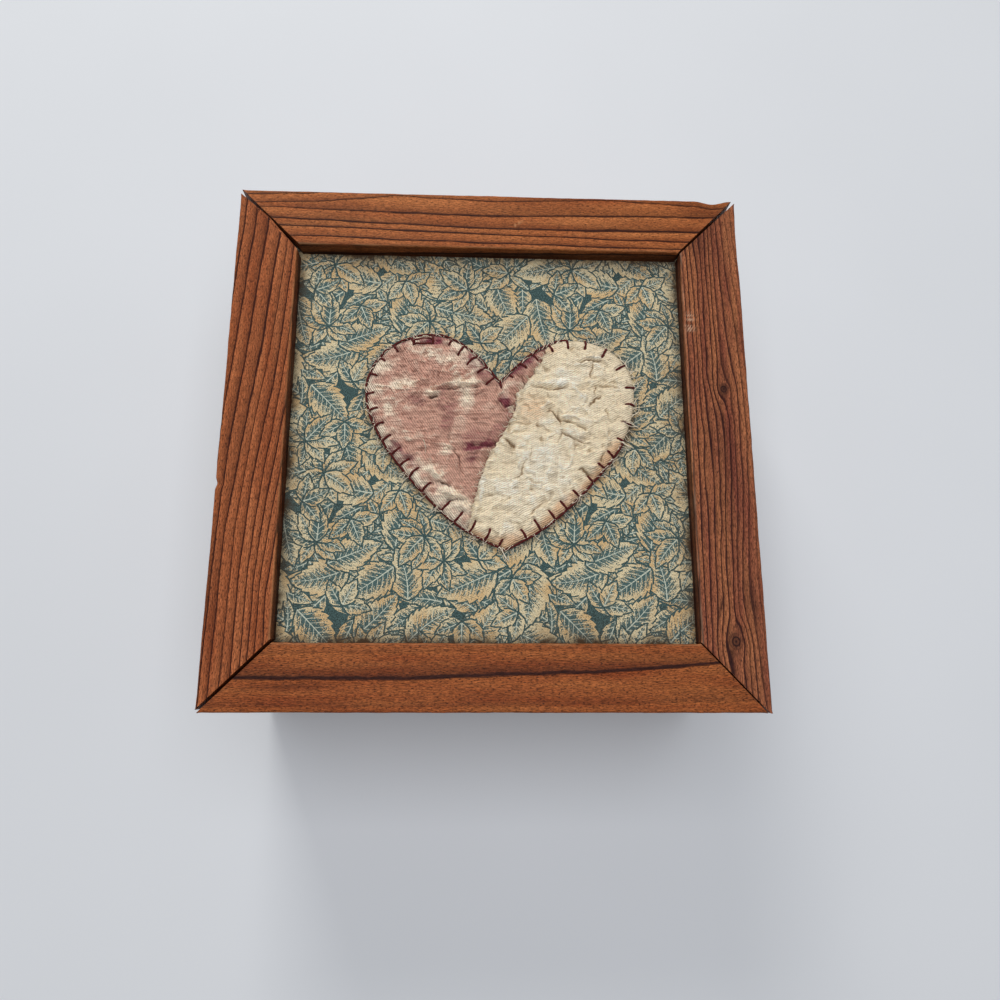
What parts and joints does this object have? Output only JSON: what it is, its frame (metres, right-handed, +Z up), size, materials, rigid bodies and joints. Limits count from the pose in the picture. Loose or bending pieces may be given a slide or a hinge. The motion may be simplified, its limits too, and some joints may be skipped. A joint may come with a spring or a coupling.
{
  "type": "wooden keepsake box",
  "caption": "Square wooden keepsake box with a lift-off lid: a mitred stained frame round printed cotton that carries a blanket-stitched quilted heart.",
  "frame": {"origin": "middle of the box's underside, on the surface it stands on", "axes": "+Z up through the lid; +Y from the heart's tip to its lobes, towards the back rail; +X to the right of the heart"},
  "size_m": [0.2032, 0.2056, 0.1016],
  "materials": {
    "stained_softwood": "rubbed reddish-brown stain on coarse-grained softwood, low sheen, darker late wood, worn arrises",
    "plain_softwood_panel": "plain planed softwood panel, matt",
    "printed_cotton": "plain-weave cotton printed all over with tan leaves on a blue-green ground, matt, slightly soiled",
    "mauve_cotton": "faded mauve twill quilt cotton, matt, rubbed pale in places",
    "cream_cotton": "cream quilt cotton, puckered and matt",
    "burgundy_floss": "twisted burgundy cotton embroidery thread"
  },
  "bodies": {
    "root": {"lid_rail_front": "stained_softwood", "lid_rail_right": "stained_softwood", "lid_rail_back": "stained_softwood", "lid_rail_left": "stained_softwood", "lid_board": "plain_softwood_panel", "lid_print_cotton": "printed_cotton", "heart_mauve_patch": "mauve_cotton", "heart_cream_patch": "cream_cotton", "heart_blanket_stitch": "burgundy_floss", "box_wall_front": "stained_softwood", "box_wall_right": "stained_softwood", "box_wall_back": "stained_softwood", "box_wall_left": "stained_softwood", "box_bottom": "plain_softwood_panel"}
  },
  "joints": []
}
